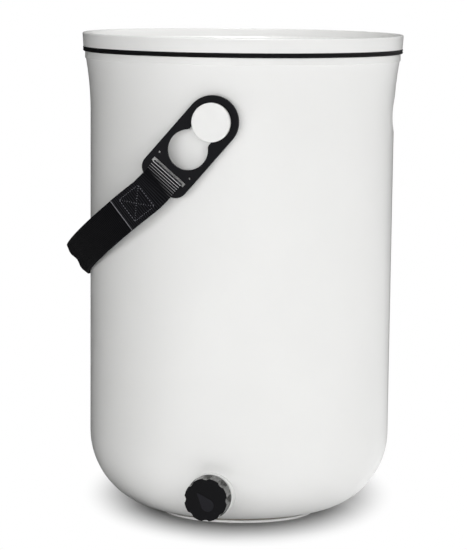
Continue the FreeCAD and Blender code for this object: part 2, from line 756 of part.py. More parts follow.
os.makedirs("parts", exist_ok=True)
for name, shape in nodes.items():
    shape.exportStep("parts/" + name + ".step")
    print(name, shape.isValid(), len(shape.Solids), round(shape.Volume, 1))
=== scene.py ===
import bpy
import json
import math
from mathutils import Matrix, Vector

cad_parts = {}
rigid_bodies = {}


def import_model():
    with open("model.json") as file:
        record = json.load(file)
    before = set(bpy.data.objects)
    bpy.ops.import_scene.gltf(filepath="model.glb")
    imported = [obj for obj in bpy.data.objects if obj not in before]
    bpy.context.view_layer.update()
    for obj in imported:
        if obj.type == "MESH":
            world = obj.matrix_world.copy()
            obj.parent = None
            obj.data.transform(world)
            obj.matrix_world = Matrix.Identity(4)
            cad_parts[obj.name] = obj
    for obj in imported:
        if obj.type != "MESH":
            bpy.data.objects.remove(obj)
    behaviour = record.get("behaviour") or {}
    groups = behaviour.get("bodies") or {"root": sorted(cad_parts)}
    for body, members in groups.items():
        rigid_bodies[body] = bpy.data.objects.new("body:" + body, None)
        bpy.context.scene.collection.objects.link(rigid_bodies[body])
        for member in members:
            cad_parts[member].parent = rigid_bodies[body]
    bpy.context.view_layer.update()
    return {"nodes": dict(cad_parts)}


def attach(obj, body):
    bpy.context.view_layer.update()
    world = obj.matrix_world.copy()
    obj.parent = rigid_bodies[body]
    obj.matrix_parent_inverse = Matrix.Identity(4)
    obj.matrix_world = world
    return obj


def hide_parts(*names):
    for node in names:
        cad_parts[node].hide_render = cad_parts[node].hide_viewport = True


for leftover in list(bpy.data.objects):
    bpy.data.objects.remove(leftover)
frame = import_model()

# ---------------------------------------------------------------------------------------------
# Bucket: one deep injection moulding in white polypropylene, with a big bottom radius, a flared
# neck, a rim band and a foot ring. It carries the tap's boss and the pads for the strap buttons.
# ---------------------------------------------------------------------------------------------
# Sizes in millimetres are multiplied by MM. The groove's radii, from the bin's axis, and its heights bound
# the painted shade in the groove over the foot ring.
MM = 0.001
groove_radii = (60.6, 63.3)
groove_heights = (1.95, 4.1)


def linear(colour):
    parts = [int(colour[n:n + 2], 16) / 255 for n in (1, 3, 5)]
    return tuple(c / 12.92 if c <= 0.04045 else ((c + 0.055) / 1.055) ** 2.4 for c in parts) + (1.0,)


def add(tree, kind, settings=None, links=None):
    made = tree.nodes.new(kind)
    for name, value in (settings or {}).items():
        if isinstance(name, int) or name in made.inputs:
            made.inputs[name].default_value = value
        else:
            setattr(made, name, value)
    for name, source in (links or {}).items():
        tree.links.new(source, made.inputs[name])
    return made


def new_material(name):
    material = bpy.data.materials.new(name)
    material.use_nodes = True
    material.node_tree.nodes.clear()
    return material, material.node_tree


def dress(material, *names):
    for name in names:
        piece = frame["nodes"][name]
        if not piece.material_slots:
            piece.data.materials.append(material)
        for held in piece.material_slots:
            held.material = material


# 1 where a length lies between two limits in millimetres
def between(tree, value, limits):
    return add(tree, "ShaderNodeMath", {"operation": "COMPARE", 1: (limits[0] + limits[1]) / 2 * MM,
                                        2: (limits[1] - limits[0]) / 2 * MM}, {0: value}).outputs[0]


# Moulded polypropylene with a satin skin: an even white whose soft highlight is broken a little by the
# tool's fine grain and by slow flow marks a hand's width across. The smooth outermost film of the
# moulding is the coat, which shows the room along the edges of the wall. Where a colour for it is given,
# painted shade darkens the groove over the foot ring, where shadow falls.
def satin_polypropylene(name, colour, flow_colour, roughness, grain=0.9 * MM, flow=70 * MM,
                        groove_shade_colour=None):
    material, tree = new_material(name)
    place = add(tree, "ShaderNodeTexCoord").outputs["Object"]
    flow_marks = add(tree, "ShaderNodeTexNoise", {"Scale": 1 / flow, "Detail": 2.0}, {"Vector": place})
    tone = add(tree, "ShaderNodeMix", {"data_type": "RGBA", 6: linear(colour), 7: linear(flow_colour)},
               {0: flow_marks.outputs["Fac"]})
    # Painted shade: a darker colour in the groove over the foot ring, where shadow falls.
    if groove_shade_colour:
        spot = add(tree, "ShaderNodeSeparateXYZ", {}, {0: place}).outputs
        flat = add(tree, "ShaderNodeCombineXYZ", {}, {"X": spot["X"], "Y": spot["Y"]})
        out = add(tree, "ShaderNodeVectorMath", {"operation": "LENGTH"}, {0: flat.outputs[0]})
        groove = add(tree, "ShaderNodeMath", {"operation": "MULTIPLY"},
                     {0: between(tree, out.outputs["Value"], groove_radii),
                      1: between(tree, spot["Z"], groove_heights)})
        tone = add(tree, "ShaderNodeMix", {"data_type": "RGBA", 7: linear(groove_shade_colour)},
                   {0: groove.outputs[0], 6: tone.outputs[2]})
    skin = add(tree, "ShaderNodeTexNoise", {"Scale": 1 / grain, "Detail": 3.0}, {"Vector": place})
    gloss = add(tree, "ShaderNodeMapRange", {"To Min": roughness - 0.05, "To Max": roughness + 0.05},
                {"Value": flow_marks.outputs["Fac"]})
    relief = add(tree, "ShaderNodeBump", {"Strength": 0.12, "Distance": 0.05 * MM},
                 {"Height": skin.outputs["Fac"]})
    shader = add(tree, "ShaderNodeBsdfPrincipled",
                 {"IOR": 1.49, "Coat Weight": 0.7, "Coat Roughness": 0.2, "Coat IOR": 1.49},
                 {"Base Color": tone.outputs[2], "Roughness": gloss.outputs[0], "Normal": relief.outputs[0]})
    add(tree, "ShaderNodeOutputMaterial", {}, {"Surface": shader.outputs[0]})
    return material


# The groove colour given here is painted shade in the groove over the foot ring.
dress(satin_polypropylene("satin_white_polypropylene", "#EEEEED", "#E9E9E8", 0.34, groove_shade_colour="#8A8378"),
      "bucket")

# ---------------------------------------------------------------------------------------------
# Tap: a quarter-turn drain tap in black ABS, clamped through the boss by a nut inside the bucket.
# The fluted knob is the piece that shows; the gasket, o-rings and spring clip sit behind it.
# ---------------------------------------------------------------------------------------------
# Distances from the bin's axis in millimetres: where the knob's side with its painted reflection ends, and
# half way up the drop
face_edge = 147.3
drop_level = 148.3


# Moulded ABS, polished in the tool: deep black and dulled in patches by fingers. The knob's side carries a
# painted reflection, paler streaks along the flutes, and the raised drop a painted highlight, paler than its
# face.
def polished_abs(name, colour, smear_colour, side_sheen_colour, drop_highlight_colour, roughness, smear=9 * MM,
                 grain=0.5 * MM, streak=1.3 * MM, streak_draw=0.15):
    material, tree = new_material(name)
    place = add(tree, "ShaderNodeTexCoord").outputs["Object"]
    smears = add(tree, "ShaderNodeTexNoise", {"Scale": 1 / smear, "Detail": 4.0}, {"Vector": place})
    tone = add(tree, "ShaderNodeMix", {"data_type": "RGBA", 6: linear(colour), 7: linear(smear_colour)},
               {0: smears.outputs["Fac"]})
    depth = add(tree, "ShaderNodeSeparateXYZ", {}, {0: place})
    drawn = add(tree, "ShaderNodeMapping", {"Scale": (1.0, streak_draw, 1.0)}, {"Vector": place})
    streaks = add(tree, "ShaderNodeTexNoise", {"Scale": 1 / streak, "Detail": 3.0},
                  {"Vector": drawn.outputs[0]})
    sheen_share = add(tree, "ShaderNodeMapRange", {"From Min": 0.1, "From Max": 0.8},
               {"Value": streaks.outputs["Fac"]})
    behind = add(tree, "ShaderNodeMath", {"operation": "GREATER_THAN", 1: -face_edge * MM},
                 {0: depth.outputs["Y"]})
    side = add(tree, "ShaderNodeMath", {"operation": "MULTIPLY"},
               {0: sheen_share.outputs[0], 1: behind.outputs[0]})
    # Painted reflection: the knob's side is lightened in streaks along the flutes.
    side_sheen = add(tree, "ShaderNodeMix", {"data_type": "RGBA", 7: linear(side_sheen_colour)},
               {0: side.outputs[0], 6: tone.outputs[2]})
    # Painted highlight: the raised drop is lighter than the knob's face.
    raised = add(tree, "ShaderNodeMath", {"operation": "LESS_THAN", 1: -drop_level * MM},
                 {0: depth.outputs["Y"]})
    painted_highlight = add(tree, "ShaderNodeMix", {"data_type": "RGBA", 7: linear(drop_highlight_colour)},
                 {0: raised.outputs[0], 6: side_sheen.outputs[2]})
    gloss = add(tree, "ShaderNodeMapRange", {"To Min": roughness - 0.06, "To Max": roughness + 0.1},
                {"Value": smears.outputs["Fac"]})
    skin = add(tree, "ShaderNodeTexNoise", {"Scale": 1 / grain, "Detail": 2.0}, {"Vector": place})
    relief = add(tree, "ShaderNodeBump", {"Strength": 0.15, "Distance": 0.03 * MM},
                 {"Height": skin.outputs["Fac"]})
    shader = add(tree, "ShaderNodeBsdfPrincipled", {"IOR": 1.54, "Specular IOR Level": 0.1},
                 {"Base Color": painted_highlight.outputs[2], "Roughness": gloss.outputs[0],
                  "Normal": relief.outputs[0]})
    add(tree, "ShaderNodeOutputMaterial", {}, {"Surface": shader.outputs[0]})
    return material


# Moulded EPDM rubber: dull near-black with a faint dusty bloom and no clear reflection.
def moulded_rubber(name, colour, bloom_colour, bloom=5 * MM, grain=0.35 * MM):
    material, tree = new_material(name)
    place = add(tree, "ShaderNodeTexCoord").outputs["Object"]
    dust = add(tree, "ShaderNodeTexNoise", {"Scale": 1 / bloom, "Detail": 5.0}, {"Vector": place})
    tone = add(tree, "ShaderNodeMix", {"data_type": "RGBA", 6: linear(colour), 7: linear(bloom_colour)},
               {0: dust.outputs["Fac"]})
    skin = add(tree, "ShaderNodeTexNoise", {"Scale": 1 / grain, "Detail": 2.0}, {"Vector": place})
    gloss = add(tree, "ShaderNodeMapRange", {"To Min": 0.5, "To Max": 0.7}, {"Value": skin.outputs["Fac"]})
    relief = add(tree, "ShaderNodeBump", {"Strength": 0.2, "Distance": 0.05 * MM},
                 {"Height": skin.outputs["Fac"]})
    shader = add(tree, "ShaderNodeBsdfPrincipled", {"IOR": 1.52, "Specular IOR Level": 0.1},
                 {"Base Color": tone.outputs[2], "Roughness": gloss.outputs[0], "Normal": relief.outputs[0]})
    add(tree, "ShaderNodeOutputMaterial", {}, {"Surface": shader.outputs[0]})
    return material


# Drawn stainless steel: a grey metal with fine lines left by the drawing. They are coarser than the real
# ones, so that they show at the clip's size.
def drawn_steel(name, colour, line_colour, lines=0.3 * MM, coarsening=5.0, squeeze=8.0):
    material, tree = new_material(name)
    place = add(tree, "ShaderNodeTexCoord").outputs["Object"]
    turned = add(tree, "ShaderNodeMapping", {"Scale": (1.0, squeeze, 1.0)}, {"Vector": place})
    scratches = add(tree, "ShaderNodeTexNoise", {"Scale": 1 / (coarsening * lines), "Detail": 4.0},
                    {"Vector": turned.outputs[0]})
    tone = add(tree, "ShaderNodeMix", {"data_type": "RGBA", 6: linear(colour), 7: linear(line_colour)},
               {0: scratches.outputs["Fac"]})
    gloss = add(tree, "ShaderNodeMapRange", {"To Min": 0.22, "To Max": 0.38},
                {"Value": scratches.outputs["Fac"]})
    shader = add(tree, "ShaderNodeBsdfPrincipled", {"Metallic": 1.0},
                 {"Base Color": tone.outputs[2], "Roughness": gloss.outputs[0]})
    add(tree, "ShaderNodeOutputMaterial", {}, {"Surface": shader.outputs[0]})
    return material


# The third colour is the painted reflection on the knob's side, the fourth the painted highlight on the
# drop.
tap_plastic = polished_abs("polished_black_abs", "#050507", "#09090C", "#7A7A78", "#1B1B1F", 0.2)
gasket_rubber = moulded_rubber("moulded_black_epdm", "#0F0F10", "#171718")
stainless_steel = drawn_steel("drawn_stainless_steel", "#C6C6C3", "#9A9A97")
dress(tap_plastic, "tap_knob", "tap_housing", "tap_plug")
dress(gasket_rubber, "tap_gasket", "tap_o_rings")
dress(stainless_steel, "tap_clip")

# ---------------------------------------------------------------------------------------------
# Strainer: a perforated false floor in grey polypropylene that stands on six posts over the tap.
# It is loose, and lifts out by the grip in its middle.
# ---------------------------------------------------------------------------------------------
dress(satin_polypropylene("satin_grey_polypropylene", "#C9C9C4", "#BDBDB7", 0.45, flow=40 * MM), "strainer")

# ---------------------------------------------------------------------------------------------
# Strap buttons: a black nylon neck screwed to each pad from inside the bucket, over a rubber
# washer, under a white cap that snaps over the neck's flange.
# ---------------------------------------------------------------------------------------------


# Moulded glass-filled nylon from a spark-eroded tool: a dense fine grain that scatters the
# highlight into a soft grey sheen along the rounded edges.
def grained_nylon(name, colour, grain_colour, roughness, grain=0.45 * MM, touch=14 * MM):
    material, tree = new_material(name)
    place = add(tree, "ShaderNodeTexCoord").outputs["Object"]
    pits = add(tree, "ShaderNodeTexNoise", {"Scale": 1 / grain, "Detail": 3.0}, {"Vector": place})
    handling = add(tree, "ShaderNodeTexNoise", {"Scale": 1 / touch, "Detail": 3.0}, {"Vector": place})
    tone = add(tree, "ShaderNodeMix", {"data_type": "RGBA", 6: linear(colour), 7: linear(grain_colour)},
               {0: pits.outputs["Fac"]})
    gloss = add(tree, "ShaderNodeMapRange", {"To Min": roughness - 0.08, "To Max": roughness + 0.08},
                {"Value": handling.outputs["Fac"]})
    relief = add(tree, "ShaderNodeBump", {"Strength": 0.35, "Distance": 0.06 * MM},
                 {"Height": pits.outputs["Fac"]})
    shader = add(tree, "ShaderNodeBsdfPrincipled", {"IOR": 1.53, "Specular IOR Level": 0.1},
                 {"Base Color": tone.outputs[2], "Roughness": gloss.outputs[0], "Normal": relief.outputs[0]})
    add(tree, "ShaderNodeOutputMaterial", {}, {"Surface": shader.outputs[0]})
    return material


black_nylon = grained_nylon("grained_black_nylon", "#0B0B0E", "#131316", 0.42)
dress(black_nylon, "front_button_post", "rear_button_post", "tap_nut")
dress(satin_polypropylene("satin_white_cap", "#ECECEB", "#E7E7E6", 0.3, flow=12 * MM),
      "front_button_cap", "rear_button_cap")
dress(stainless_steel, "button_screws")
dress(gasket_rubber, "button_washers")

# ---------------------------------------------------------------------------------------------
# Strap plates: flat black nylon keyhole plates that hang and swing on the button necks. Each has
# a slot whose outer bar takes the strap, and two small pin holes left by its tool.
# ---------------------------------------------------------------------------------------------
dress(black_nylon, "front_strap_plate", "rear_strap_plate")

# ---------------------------------------------------------------------------------------------
# Strap: one length of black polyester webbing, 30 mm wide, woven with thick weft ribs. Each end
# goes out through its plate's slot, round the bar and back over itself, where it is sewn down.
# ---------------------------------------------------------------------------------------------
# Sizes in millimetres. The route is the one in the part's source, and reach is measured from the buttons.
strap_width = 30.0
strap_thickness = 2.0
button_height = 338.5
plate_inner = 133.58
plate_tilt = math.radians(3.6)
plate_lean = math.radians(49.5)
plate_thickness = 3.0
plate_end = 68.0
slot_end = 55.2
strap_lean = math.radians(38.0)
swing_length = 12.0
far_distance = 138.4
leg_end = plate_end + 14.0
lift_start = plate_end + 1.0
tail_end = plate_end + 40.0
bend_share = 0.42
bar_gap = 0.2
layer_step = strap_thickness + 0.1
station = 0.4
stretch_end = 71.0
stretch_full = 51.0
bend_wave = 1.5
bend_wave_length = 60.0
leg_steps = 120
turn_steps = 24
direction_steps = 3
middle_steps = 8
band_half_height = 0.6
woven_edge = ((0.0, 0.0), (0.15, 0.42), (0.5, 0.66), (1.1, 0.74), (1.9, 0.68), (2.6, band_half_height))


def eased(part):
    part = min(1.0, max(0.0, part))
    return part * part * (3 - 2 * part)


def off_plate(along, off):
    return (plate_inner + along * math.sin(plate_tilt) + off * math.cos(plate_tilt),
            along * math.cos(plate_tilt) - off * math.sin(plate_tilt))


# Side view: past the plate the band swings in its own plane from the plate's lean to its own
def strap_side(reach):
    swung = min(max(0.0, reach - lift_start), swing_length)
    beyond = max(0.0, reach - lift_start - swing_length)
    straight = min(reach, lift_start)
    angle = plate_lean + (strap_lean - plate_lean) * swung / swing_length
    radius = swing_length / (strap_lean - plate_lean)
    sideways = straight * math.cos(plate_lean) + radius * (math.sin(angle) - math.sin(plate_lean))
    down = straight * math.sin(plate_lean) - radius * (math.cos(angle) - math.cos(plate_lean))
    return sideways + beyond * math.cos(strap_lean), down + beyond * math.sin(strap_lean), angle


swing_end = lift_start + swing_length
strap_reach = swing_end + (far_distance - strap_side(swing_end)[0]) / math.cos(strap_lean)


# One half of the route from above, as distances out from the bin's axis and reaches: the sewn tail, its
# lift over the plate, the turn round the bar and the leg to the middle of the far bend
def half_strap():
    inside = -(bar_gap + strap_thickness / 2)
    outside = plate_thickness - inside
    start = off_plate(leg_end, inside)
    pull = bend_share * (strap_reach - leg_end)
    pulls = [start, (start[0] + pull * math.sin(plate_tilt), start[1] + pull * math.cos(plate_tilt)),
             (bend_share * plate_inner, strap_reach), (0.0, strap_reach)]
    leg = []
    for n in range(leg_steps + 1):
        t = n / leg_steps
        weights = ((1 - t) ** 3, 3 * t * (1 - t) ** 2, 3 * t * t * (1 - t), t ** 3)
        leg.append(tuple(sum(w * p[k] for w, p in zip(weights, pulls)) for k in (0, 1)))
    tail = []
    for before, here, after in zip(leg, leg[1:], leg[2:]):
        run = math.hypot(after[0] - before[0], after[1] - before[1])
        if here[1] < tail_end * math.cos(plate_tilt):
            tail.append((here[0] + layer_step * (after[1] - before[1]) / run,
                         here[1] - layer_step * (after[0] - before[0]) / run))
    lift = [off_plate(leg_end - (leg_end - lift_start) * n / turn_steps,
                      inside + layer_step + eased(n / turn_steps) * (outside - inside - layer_step))
            for n in range(turn_steps + 1)]
    turn_radius = outside - plate_thickness / 2
    turn = []
    for n in range(turn_steps + 1):
        angle = math.pi * (0.5 + n / turn_steps)
        turn.append(off_plate(slot_end + plate_thickness / 2 + turn_radius * math.cos(angle),
                              plate_thickness / 2 + turn_radius * math.sin(angle)))
    return tail[::-1] + lift + turn + leg


# The webbing's stations: middle point, directions across it and out of its face, length, reach
def strap_stations():
    half = half_strap()
    flat = [(-out, reach) for out, reach in half] + [(out, reach) for out, reach in half[-2::-1]]
    points = []
    for out, reach in flat:
        sideways, down, _ = strap_side(reach)
        points.append(Vector((-sideways, out, button_height - down)))
    lengths = [0.0]
    for a, b in zip(points, points[1:]):
        lengths.append(lengths[-1] + (b - a).length)
    count = int(lengths[-1] / station)
    spread, reaches = [], []
    at = 0
    for n in range(count + 1):
        want = lengths[-1] * n / count
        while at < len(points) - 2 and lengths[at + 1] < want:
            at += 1
        part = (want - lengths[at]) / max(1e-9, lengths[at + 1] - lengths[at])
        spread.append(points[at].lerp(points[at + 1], part))
        reaches.append(flat[at][1] + part * (flat[at + 1][1] - flat[at][1]))
    stations = []
    for n, point in enumerate(spread):
        ahead = (spread[min(n + direction_steps, count)] - spread[max(n - direction_steps, 0)]).normalized()
        lean = strap_side(reaches[n])[2]
        across = Vector((-math.sin(lean), 0, math.cos(lean)))
        across = (across - ahead * across.dot(ahead)).normalized()
        stations.append((point, across, ahead.cross(across), lengths[-1] * n / count, reaches[n]))
    return stations


# Woven edges are rounder and a little thicker than the middle of the band
def webbing_section():
    half = strap_width / 2
    inner = half - woven_edge[-1][0]
    upper = [(in_by - half, h) for in_by, h in woven_edge]
    upper += [(2 * inner * n / middle_steps - inner, band_half_height) for n in range(1, middle_steps)]
    upper += [(-s, h) for s, h in upper[len(woven_edge) - 1::-1]]
    lower = [(s, -h) for s, h in upper[-2:0:-1]]
    return upper + lower


# The section drawn along the stations. At the far bend the slack band stands out in two shallow lobes.
def webbing_mesh(stations):
    section = webbing_section()
    wide = len(section)
    total = stations[-1][3]
    corners, faces, along, across, stretch, from_cut = [], [], [], [], [], []
    for point, side, out, length, reach in stations:
        slack = bend_wave * eased(1 - (strap_reach - reach) / bend_wave_length)
        taut = eased((stretch_end - reach) / (stretch_end - stretch_full))
        for s, h in section:
            share = s / (strap_width / 2)
            corners.append((point + side * s + out * (h - slack * math.sin(math.pi * share) ** 2)) * MM)
            along.append(length)
            across.append(share)
            stretch.append(taut)
            from_cut.append(min(length, total - length))
    for n in range(len(stations) - 1):
        for k in range(wide):
            a, b = n * wide + k, n * wide + (k + 1) % wide
            faces.append((a, a + wide, b + wide, b))
    faces.append(tuple(range(wide)))
    last = (len(stations) - 1) * wide
    faces.append(tuple(range(last + wide - 1, last - 1, -1)))
    mesh = bpy.data.meshes.new("webbing_band")
    mesh.from_pydata(corners, [], faces)
    marks = {"along": along, "across": across, "stretch": stretch, "from_cut": from_cut}
    for name, values in marks.items():
        mesh.attributes.new(name, "FLOAT", "POINT").data.foreach_set("value", values)
    mesh.shade_smooth()
    return mesh


def new_nodes_tree(name, sizes):
    tree = bpy.data.node_groups.new(name, "GeometryNodeTree")
    tree.interface.new_socket("Geometry", in_out="INPUT", socket_type="NodeSocketGeometry")
    for label, kind in sizes:
        tree.interface.new_socket(label, in_out="INPUT", socket_type=kind)
    tree.interface.new_socket("Geometry", in_out="OUTPUT", socket_type="NodeSocketGeometry")
    return tree


# Turns a mesh and its node tree, with the tree's named inputs, into one plain mesh object
def made_by_nodes(name, mesh, tree, values):
    source = bpy.data.objects.new(name + "_source", mesh)
    bpy.context.scene.collection.objects.link(source)
    modifier = source.modifiers.new(name, "NODES")
    modifier.node_group = tree
    for item in tree.interface.items_tree:
        if item.in_out == "INPUT" and item.name in values:
            modifier[item.identifier] = values[item.name]
    bpy.context.view_layer.update()
    evaluated = source.evaluated_get(bpy.context.evaluated_depsgraph_get())
    plain = bpy.data.meshes.new_from_object(evaluated)
    plain.name = name
    bpy.data.objects.remove(source)
    piece = bpy.data.objects.new(name, plain)
    bpy.context.scene.collection.objects.link(piece)
    return piece


# Shares of the band's half width at which the ribs end and reach their full height
ribs_end = 0.94
ribs_full = 0.82


# Raises the weft ribs along the band, most where it is drawn round the bar; the woven edges stay plain
def weft_rib_tree():
    tree = new_nodes_tree("weft_ribs", (("Rib pitch", "NodeSocketFloat"), ("Rib height", "NodeSocketFloat"),
                                        ("Slack height", "NodeSocketFloat"),
                                        ("Webbing", "NodeSocketMaterial")))
    given = add(tree, "NodeGroupInput").outputs
    along = add(tree, "GeometryNodeInputNamedAttribute", {"data_type": "FLOAT", "Name": "along"})
    across = add(tree, "GeometryNodeInputNamedAttribute", {"data_type": "FLOAT", "Name": "across"})
    turns = add(tree, "ShaderNodeMath", {"operation": "DIVIDE"},
                {0: along.outputs[0], 1: given["Rib pitch"]})
    angle = add(tree, "ShaderNodeMath", {"operation": "MULTIPLY", 1: 2 * math.pi}, {0: turns.outputs[0]})
    wave = add(tree, "ShaderNodeMath", {"operation": "COSINE"}, {0: angle.outputs[0]})
    crest = add(tree, "ShaderNodeMath", {"operation": "MULTIPLY_ADD", 1: 0.5, 2: 0.5}, {0: wave.outputs[0]})
    edge = add(tree, "ShaderNodeMath", {"operation": "ABSOLUTE"}, {0: across.outputs[0]})
    inner = add(tree, "ShaderNodeMapRange", {"interpolation_type": "SMOOTHSTEP", "From Min": ribs_end,
                                             "From Max": ribs_full}, {"Value": edge.outputs[0]})
    masked = add(tree, "ShaderNodeMath", {"operation": "MULTIPLY"},
                 {0: crest.outputs[0], 1: inner.outputs[0]})
    stretch = add(tree, "GeometryNodeInputNamedAttribute", {"data_type": "FLOAT", "Name": "stretch"})
    height = add(tree, "ShaderNodeMapRange", {},
                 {"Value": stretch.outputs[0], "To Min": given["Slack height"],
                  "To Max": given["Rib height"]})
    raised = add(tree, "ShaderNodeMath", {"operation": "MULTIPLY"},
                 {0: masked.outputs[0], 1: height.outputs[0]})
    normal = add(tree, "GeometryNodeInputNormal")
    offset = add(tree, "ShaderNodeVectorMath", {"operation": "SCALE"},
                 {0: normal.outputs[0], "Scale": raised.outputs[0]})
    moved = add(tree, "GeometryNodeSetPosition", {},
                {"Geometry": given["Geometry"], "Offset": offset.outputs[0]})
    real = add(tree, "GeometryNodeRealizeInstances", {}, {"Geometry": moved.outputs[0]})
    faced = add(tree, "GeometryNodeSetMaterial", {},
                {"Geometry": real.outputs[0], "Material": given["Webbing"]})
    add(tree, "NodeGroupOutput", {}, {"Geometry": faced.outputs[0]})
    return tree


# Woven polyester: dull black yarn, warp yarns 1.2 mm apart, with low ribs whose crests carry a painted
# highlight, strongest where the band is sewn double. Where it is drawn round the plate's bar the crests
# carry a pale painted highlight, weaker towards one side of the band, and each cut end has a paler
# heat-sealed line. Lengths along the band are in millimetres.
def woven_webbing(name, valley, crest, sewn_crest_highlight, drawn_crest_highlight, cut, warp=1.2, yarn_share=0.35,
                  fluff=0.5 * MM, fluff_share=0.9, highlight_skew=0.22):
    material, tree = new_material(name)
    along = add(tree, "ShaderNodeAttribute", {"attribute_name": "along"}).outputs["Fac"]
    across = add(tree, "ShaderNodeAttribute", {"attribute_name": "across"}).outputs["Fac"]
    rib_angle = add(tree, "ShaderNodeMath", {"operation": "MULTIPLY", 1: 2 * math.pi / rib_pitch},
                    {0: along})
    rib = add(tree, "ShaderNodeMath", {"operation": "COSINE"}, {0: rib_angle.outputs[0]})
    warp_angle = add(tree, "ShaderNodeMath", {"operation": "MULTIPLY", 1: math.pi * strap_width / warp},
                     {0: across})
    yarn = add(tree, "ShaderNodeMath", {"operation": "COSINE"}, {0: warp_angle.outputs[0]})
    woven = add(tree, "ShaderNodeMath", {"operation": "MULTIPLY_ADD", 1: yarn_share},
                {0: yarn.outputs[0], 2: rib.outputs[0]})
    place = add(tree, "ShaderNodeTexCoord").outputs["Object"]
    hairs = add(tree, "ShaderNodeTexNoise", {"Scale": 1 / fluff, "Detail": 3.0}, {"Vector": place})
    share = add(tree, "ShaderNodeMath", {"operation": "MULTIPLY_ADD", 1: fluff_share},
                {0: hairs.outputs["Fac"], 2: woven.outputs[0]})
    lit = add(tree, "ShaderNodeMapRange", {"From Min": 0.2, "From Max": 1.9}, {"Value": share.outputs[0]})
    from_cut = add(tree, "ShaderNodeAttribute", {"attribute_name": "from_cut"}).outputs["Fac"]
    doubled = add(tree, "ShaderNodeMapRange", {"From Min": sewn_end, "From Max": sewn_length},
                  {"Value": from_cut})
    # Painted highlight: the rib crests are lighter than the valleys, more where the band is sewn double.
    raised = add(tree, "ShaderNodeMix", {"data_type": "RGBA", 6: linear(crest), 7: linear(sewn_crest_highlight)},
                 {0: doubled.outputs[0]})
    yarns = add(tree, "ShaderNodeMix", {"data_type": "RGBA", 6: linear(valley)},
                {0: lit.outputs[0], 7: raised.outputs[2]})
    # Painted highlight: near the bar the crests are lightened, less towards one side of the band.
    drawn = add(tree, "ShaderNodeAttribute", {"attribute_name": "stretch"}).outputs["Fac"]
    highlight_start = add(tree, "ShaderNodeMath", {"operation": "MULTIPLY_ADD", 1: highlight_skew, 2: highlight_skew},
               {0: across})
    bar_highlight = add(tree, "ShaderNodeMapRange", {}, {"Value": drawn, "From Min": highlight_start.outputs[0]})
    top = add(tree, "ShaderNodeMapRange", {"From Min": 0.75, "From Max": 1.75},
              {"Value": share.outputs[0]})
    painted_highlight = add(tree, "ShaderNodeMath", {"operation": "MULTIPLY"},
                 {0: top.outputs[0], 1: bar_highlight.outputs[0]})
    tone = add(tree, "ShaderNodeMix", {"data_type": "RGBA", 7: linear(drawn_crest_highlight)},
               {0: painted_highlight.outputs[0], 6: yarns.outputs[2]})
    sealed = add(tree, "ShaderNodeMapRange", {"From Min": seal_end, "From Max": seal_full},
                 {"Value": from_cut})
    ended = add(tree, "ShaderNodeMix", {"data_type": "RGBA", 7: linear(cut)},
                {0: sealed.outputs[0], 6: tone.outputs[2]})
    relief = add(tree, "ShaderNodeBump", {"Strength": 0.5, "Distance": 0.15 * MM},
                 {"Height": share.outputs[0]})
    shader = add(tree, "ShaderNodeBsdfPrincipled",
                 {"Roughness": 0.72, "IOR": 1.5, "Specular IOR Level": 0.06, "Sheen Weight": 0.02,
                  "Sheen Roughness": 0.5},
                 {"Base Color": ended.outputs[2], "Normal": relief.outputs[0]})
    add(tree, "ShaderNodeOutputMaterial", {}, {"Surface": shader.outputs[0]})
    return material


rib_pitch = 2.0
sewn_length = 36.0
sewn_end = sewn_length + 8.0
seal_end = 0.95
seal_full = 0.4
# The crest colours given here are painted highlights.
webbing_material = woven_webbing("woven_black_polyester", "#060608", "#101013", "#28282C", "#DADADE",
                                 "#7A7A7E")
strap_line = strap_stations()
strap_length = strap_line[-1][3]
webbing = made_by_nodes("webbing", webbing_mesh(strap_line), weft_rib_tree(),
                        {"Rib pitch": rib_pitch, "Rib height": 0.35 * MM, "Slack height": 0.12 * MM,
                         "Webbing": webbing_material})
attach(webbing, "handle")
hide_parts("strap")

# ---------------------------------------------------------------------------------------------
# Stitching: each folded end is sewn down with bonded polyester thread, a box of lockstitches with
# a cross through it, between the plate's bar and the cut end. The cross is pulled deeper into the band.
# ---------------------------------------------------------------------------------------------
# Sizes in millimetres; the box's start and end are lengths from the cut end
box_start = 8.0
box_end = 29.0
box_half_width = 10.8
row_pitch = 2.8
cross_pitch = 2.2
stitch_length = 1.6
thread_radius = 0.34
row_lift = 0.84
cross_lift = 0.41


# Each stitch's place along and across the band, the direction of its row, and its lift
def stitch_places():
    corners = [(box_start, -box_half_width), (box_start, box_half_width),
               (box_end, box_half_width), (box_end, -box_half_width)]
    rows = [(0, 1, row_pitch, row_lift), (2, 3, row_pitch, row_lift)]
    rows += [(a, b, cross_pitch, cross_lift) for a, b in ((1, 2), (3, 0), (0, 2), (1, 3))]
    places = []
    for first, last, pitch, lift in rows:
        a, b = corners[first], corners[last]
        length = math.hypot(b[0] - a[0], b[1] - a[1])
        count = 2 * round(length / pitch / 2) + 1
        for n in range(count):
            part = (n + 0.5) / count
            places.append((a[0] + part * (b[0] - a[0]), a[1] + part * (b[1] - a[1]),
                           (b[0] - a[0]) / length, (b[1] - a[1]) / length, lift))
    return places


def stitch_points():
    points, runs, faces = [], [], []
    for outward, from_end in ((-1, False), (1, True)):
        for length, side, run_along, run_across, lift in stitch_places():
            index = round((strap_length - length if from_end else length) / station)
            point, across, out, _, _ = strap_line[min(index, len(strap_line) - 1)]
            face = out if out.y * outward > 0 else -out
            ahead = face.cross(across)
            points.append((point + across * side + face * lift) * MM)
            runs.append(ahead * run_along + across * run_across)
            faces.append(face)
    mesh = bpy.data.meshes.new("stitch_points")
    mesh.from_pydata(points, [], [])
    for name, values in (("run", runs), ("face", faces)):
        layer = mesh.attributes.new(name, "FLOAT_VECTOR", "POINT")
        layer.data.foreach_set("vector", [c for v in values for c in v])
    return mesh


